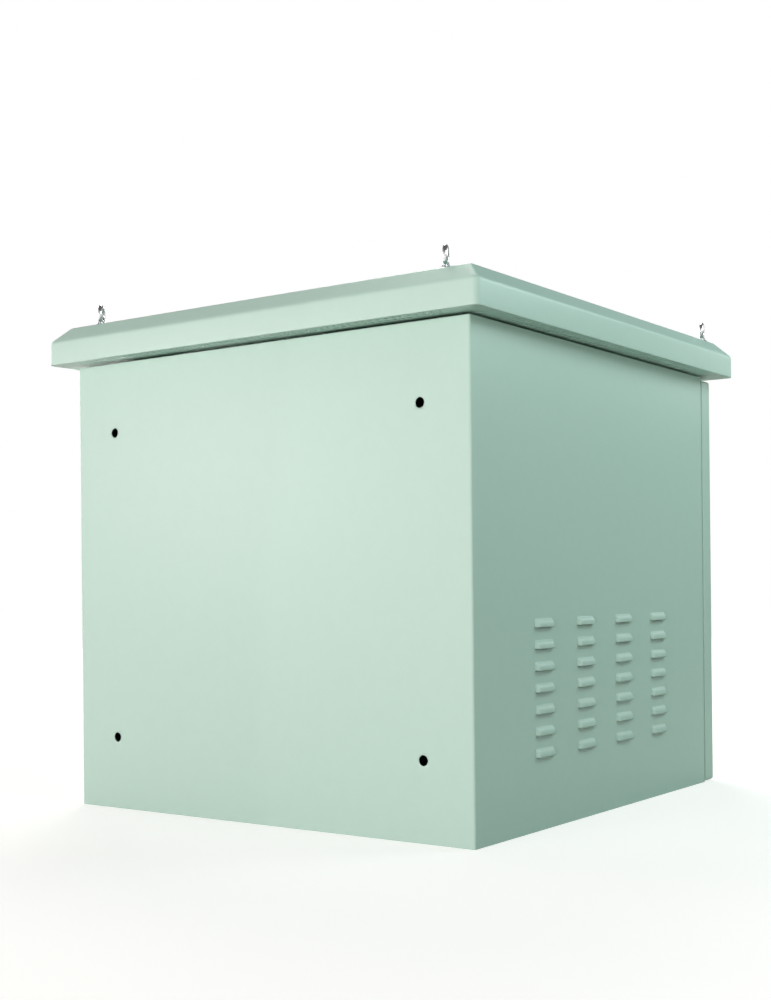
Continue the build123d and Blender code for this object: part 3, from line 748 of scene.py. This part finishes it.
def hex_heads(name, places, axis, height, body):
    """Hex heads or nuts on washers, at places on the face that carries them."""
    bm = bmesh.new()
    reach = M6_FLATS / math.sqrt(3)
    top = WASHER + height
    washer = (
        (M6_WASHER_RADIUS, 0),
        (M6_WASHER_RADIUS, WASHER * WASHER_SIDE_SHARE),
        (M6_WASHER_RADIUS * WASHER_TOP_SHARE, WASHER),
    )
    head = (
        (reach, WASHER),
        (reach, top - reach * HEX_CHAMFER_DROP),
        (reach * HEX_CHAMFER_REACH, top),
    )
    for place in places:
        matrix = facing(place, axis)
        lathe(bm, washer, ROUND_STEPS, matrix)
        lathe(bm, head, HEX_SIDES, matrix)
    new_piece(name, bm, "zinc", body)


def pan_screws(name, places, axis, body):
    """Low round screw heads with a driving socket."""
    bm = bmesh.new()
    profile = [(radius * SCREW_RADIUS, height * SCREW_HEAD) for radius, height in SCREW_SECTION]
    for place in places:
        lathe(bm, profile, ROUND_STEPS, facing(place, axis))
    new_piece(name, bm, "zinc", body)


def rail_bolts():
    """One bolt at each crossing of a rail and its supports."""
    for side, sign in (("left", -1), ("right", 1)):
        low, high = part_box("rack_rail_" + side)
        outer = low.x if sign < 0 else high.x
        places = []
        for level in ("lower", "upper"):
            support_low, support_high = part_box("rail_support_" + level + "_" + side)
            middle = (support_low.z + support_high.z) / 2
            places.append((outer - sign * RAIL_THICKNESS, high.y - RAIL_BOLT_INSET, middle))
        hex_heads("rail_bolts_" + side, places, (-sign, 0, 0), M6_HEAD, "cabinet")


def cable_plate_bolts():
    """Six bolts round the blank plate over the cable opening."""
    low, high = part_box("gland_plate")
    reach_x = (high.x - low.x) / 2 - PLATE_BOLT_INSET
    ends_y = (low.y + PLATE_BOLT_INSET, high.y - PLATE_BOLT_INSET)
    places = [(share * reach_x, y, high.z) for share in (-1, 0, 1) for y in ends_y]
    hex_heads("cable_plate_bolts", places, (0, 0, 1), M6_HEAD, "cabinet")


def eye_nuts():
    """Nuts and washers under the roof that hold the lifting eyes."""
    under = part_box("roof_hood")[1].z - SHEET
    places = []
    for mount in lifting_eyes():
        x, y, z = mount["pos_m"]
        places.append((x, y, under))
    hex_heads("eye_bolt_nuts", places, (0, 0, -1), M6_NUT, "cabinet")


def hinge_screws():
    """Two screws in each hinge leaf."""
    for level in ("lower", "upper"):
        for half, body in (("frame", "cabinet"), ("door", "door")):
            low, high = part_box("hinge_" + level + "_" + half + "_half")
            x = low.x + HINGE_LEAF
            y = high.y - HINGE_FRAME_INSET if half == "frame" else low.y + HINGE_DOOR_INSET
            middle = low.z + HINGE_HALF_HEIGHT / 2
            places = [(x, y, middle + sign * HINGE_SCREW_SPREAD) for sign in (-1, 1)]
            pan_screws("hinge_" + level + "_" + half + "_screws", places, (1, 0, 0), body)


def cam_screw():
    """Bolt that holds the cam on the end of the lock's spindle."""
    joint = next(joint for joint in frame["joints"] if joint["name"] == "lock_turn")
    x, y, z = joint["pos_m"]
    places = [(x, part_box("lock_cam")[1].y, z)]
    hex_heads("lock_cam_screw", places, (0, 1, 0), M6_HEAD, "lock")


for node in nodes.values():
    dress(node, node.data.materials[0].name)
for name, width in EDGE_WIDTHS.items():
    soften(name, width * MM)

body_sheet()
roof_sheet()
vent_strip("vent_strip_back", (1, 0, 0), (0, 1, 0))
vent_strip("vent_strip_front", (1, 0, 0), (0, -1, 0))
vent_strip("vent_strip_left", (0, 1, 0), (-1, 0, 0))
vent_strip("vent_strip_right", (0, 1, 0), (1, 0, 0))
eye_bolts()
eye_nuts()
rail_bolts()
cable_plate_bolts()
hinge_screws()
cam_screw()


def aim(light, target):
    """Turn a lamp so that it faces a point."""
    light.rotation_euler = (target - light.location).to_track_quat("-Z", "Y").to_euler()


def softbox(name, place, target, size, power, tint):
    """Soft lamp; its size is a width and a height."""
    lamp = bpy.data.lights.new(name, "AREA")
    lamp.shape = "RECTANGLE"
    lamp.size, lamp.size_y = size
    lamp.energy = power
    lamp.color = tint
    light = bpy.data.objects.new(name, lamp)
    light.location = place
    light.visible_camera = False
    aim(light, Vector(target))
    bpy.context.scene.collection.objects.link(light)
    return light


def studio_lamps():
    """Key behind the object, fills on its left, and lamps for the front, the right and the top."""
    # The key is two lamps at one place: a strong one that is not mirrored and a weak one that is
    key = softbox("key", KEY_PLACE, KEY_TARGET, KEY_SIZE, KEY_POWER, KEY_TINT)
    key.visible_glossy = False
    softbox("key_sheen", KEY_PLACE, KEY_TARGET, KEY_SIZE, KEY_SHEEN_POWER, KEY_TINT)
    softbox(
        "glint", place=(2.75, 3.0, 0.5), target=(0, 0, 0.1),
        size=(0.8, 0.8), power=20, tint=PLAIN_TINT,
    )
    softbox(
        "fill_rear", place=(-1.15, 0.15, 0.78), target=(-0.3, -0.2, 0),
        size=(0.6, 0.6), power=3.3, tint=FILL_TINT,
    )
    softbox(
        "fill_front", place=(-1.05, -0.95, 0.78), target=(-0.3, -0.4, 0),
        size=(0.6, 0.6), power=5.3, tint=FILL_TINT,
    )
    softbox(
        "louvre_glint", place=(-0.55, -1.55, 0.5), target=(-0.3, -0.4, -0.1),
        size=(0.25, 0.25), power=0.45, tint=PLAIN_TINT,
    )
    softbox(
        "rim", place=(-1.3, -3.6, 1.9), target=(-0.3, -0.3, 0.2),
        size=(1.0, 1.0), power=4, tint=FILL_TINT,
    )
    softbox(
        "front", place=(3.5, -3.3, 0.8), target=(0, -0.6, 0),
        size=(2.0, 1.4), power=105, tint=PLAIN_TINT,
    )
    softbox(
        "right", place=(4.2, -0.6, 1.0), target=(0.3, -0.3, 0),
        size=(2.0, 1.4), power=42, tint=PLAIN_TINT,
    )
    softbox(
        "top", place=(1.5, -2.2, 3.2), target=(0, -0.3, 0.3),
        size=(1.5, 1.5), power=46, tint=PLAIN_TINT,
    )


def studio_world():
    """White to the camera, with softer greys as ambient light and in reflections."""
    world = bpy.data.worlds.new("studio")
    world.use_nodes = True
    tree = world.node_tree
    path = tree.nodes.new("ShaderNodeLightPath")
    place = tree.nodes.new("ShaderNodeTexCoord")
    direction = tree.nodes.new("ShaderNodeSeparateXYZ")
    tree.links.new(place.outputs["Generated"], direction.inputs["Vector"])

    def span(value, start, end, low, high):
        """Value from start to end turned into a level; low and high are numbers or outputs."""
        node = tree.nodes.new("ShaderNodeMapRange")
        node.inputs["From Min"].default_value = start
        node.inputs["From Max"].default_value = end
        for name, level in (("To Min", low), ("To Max", high)):
            if isinstance(level, float):
                node.inputs[name].default_value = level
            else:
                tree.links.new(level, node.inputs[name])
        tree.links.new(value, node.inputs["Value"])
        return node.outputs["Result"]

    height = direction.outputs["Z"]
    ambient = span(height, 0, 1, AMBIENT_LEVEL, AMBIENT_OVERHEAD)
    mirrored = span(direction.outputs["Y"], -1, 1, MIRRORED_FRONT, MIRRORED_BACK)
    mirrored = span(height, OVERHEAD_START, OVERHEAD_END, mirrored, MIRRORED_OVERHEAD)
    level = span(path.outputs["Is Glossy Ray"], 0, 1, ambient, mirrored)
    level = span(path.outputs["Is Transmission Ray"], 0, 1, level, 1.0)
    level = span(path.outputs["Is Camera Ray"], 0, 1, level, 1.0)
    background = tree.nodes["Background"]
    background.inputs["Color"].default_value = (1, 1, 1, 1)
    tree.links.new(level, background.inputs["Strength"])
    bpy.context.scene.world = world


def studio_floor(level):
    """Pale floor that keeps the shadow and turns white for the camera farther out."""
    mesh = bpy.data.meshes.new("floor")
    corners = []
    for side_x, side_y in ((-1, -1), (1, -1), (1, 1), (-1, 1)):
        corners.append((side_x * FLOOR_HALF_SIZE, side_y * FLOOR_HALF_SIZE, level))
    mesh.from_pydata(corners, [], [(0, 1, 2, 3)])
    floor = bpy.data.objects.new("floor", mesh)
    bpy.context.scene.collection.objects.link(floor)
    material = bpy.data.materials.new("floor")
    material.use_nodes = True
    tree = material.node_tree
    tree.nodes.remove(tree.nodes["Principled BSDF"])
    diffuse = tree.nodes.new("ShaderNodeBsdfDiffuse")
    diffuse.inputs["Color"].default_value = FLOOR_COLOUR
    place = tree.nodes.new("ShaderNodeTexCoord").outputs["Object"]
    rays = tree.nodes.new("ShaderNodeLightPath").outputs
    reach = tree.nodes.new("ShaderNodeVectorMath")
    reach.operation = "LENGTH"
    tree.links.new(place, reach.inputs[0])
    axes = tree.nodes.new("ShaderNodeSeparateXYZ")
    tree.links.new(place, axes.inputs["Vector"])

    def lift(along, start, end, low, high, ray):
        """Glow that goes from low to high along the floor, for one kind of ray."""
        span = tree.nodes.new("ShaderNodeMapRange")
        span.inputs["From Min"].default_value = start
        span.inputs["From Max"].default_value = end
        span.inputs["To Min"].default_value = low
        span.inputs["To Max"].default_value = high
        tree.links.new(along, span.inputs["Value"])
        seen = tree.nodes.new("ShaderNodeMath")
        seen.operation = "MULTIPLY"
        tree.links.new(span.outputs["Result"], seen.inputs[0])
        tree.links.new(rays[ray], seen.inputs[1])
        return seen.outputs["Value"]

    seen = lift(
        reach.outputs["Value"], start=FLOOR_NEAR, end=FLOOR_FAR,
        low=FLOOR_LIFT_NEAR, high=FLOOR_LIFT_FAR, ray="Is Camera Ray",
    )
    mirrored = lift(
        axes.outputs["Y"], start=0, end=FLOOR_MIRRORED_DEPTH,
        low=0, high=FLOOR_MIRRORED, ray="Is Glossy Ray",
    )
    either = tree.nodes.new("ShaderNodeMath")
    either.operation = "MAXIMUM"
    tree.links.new(seen, either.inputs[0])
    tree.links.new(mirrored, either.inputs[1])
    glow = tree.nodes.new("ShaderNodeEmission")
    tree.links.new(either.outputs["Value"], glow.inputs["Strength"])
    both = tree.nodes.new("ShaderNodeAddShader")
    tree.links.new(diffuse.outputs["BSDF"], both.inputs[0])
    tree.links.new(glow.outputs["Emission"], both.inputs[1])
    tree.links.new(both.outputs["Shader"], tree.nodes["Material Output"].inputs["Surface"])
    mesh.materials.append(material)


def photo_camera():
    """Camera at the photo's place, with its roll and its off-centre frame."""
    forward = Vector((math.sin(CAMERA_YAW), -math.cos(CAMERA_YAW), 0))
    level_right = Vector((-math.cos(CAMERA_YAW), -math.sin(CAMERA_YAW), 0))
    level_up = Vector((0, 0, 1))
    right = math.cos(CAMERA_ROLL) * level_right + math.sin(CAMERA_ROLL) * level_up
    up = math.cos(CAMERA_ROLL) * level_up - math.sin(CAMERA_ROLL) * level_right
    turn = Matrix((right, up, -forward)).transposed()
    data = bpy.data.cameras.new("camera")
    data.lens = FOCAL_PIXELS * data.sensor_width / IMAGE_LONG_SIDE
    data.shift_x = (IMAGE_SHORT_SIDE / 2 - PRINCIPAL_X) / IMAGE_LONG_SIDE
    data.shift_y = (PRINCIPAL_Y - IMAGE_LONG_SIDE / 2) / IMAGE_LONG_SIDE
    camera = bpy.data.objects.new("camera", data)
    camera.matrix_world = Matrix.Translation(CAMERA_PLACE) @ turn.to_4x4()
    bpy.context.scene.collection.objects.link(camera)
    bpy.context.scene.camera = camera


bpy.context.scene.view_settings.view_transform = "Standard"
studio_world()
studio_floor(cad_box[0][2])
studio_lamps()
photo_camera()
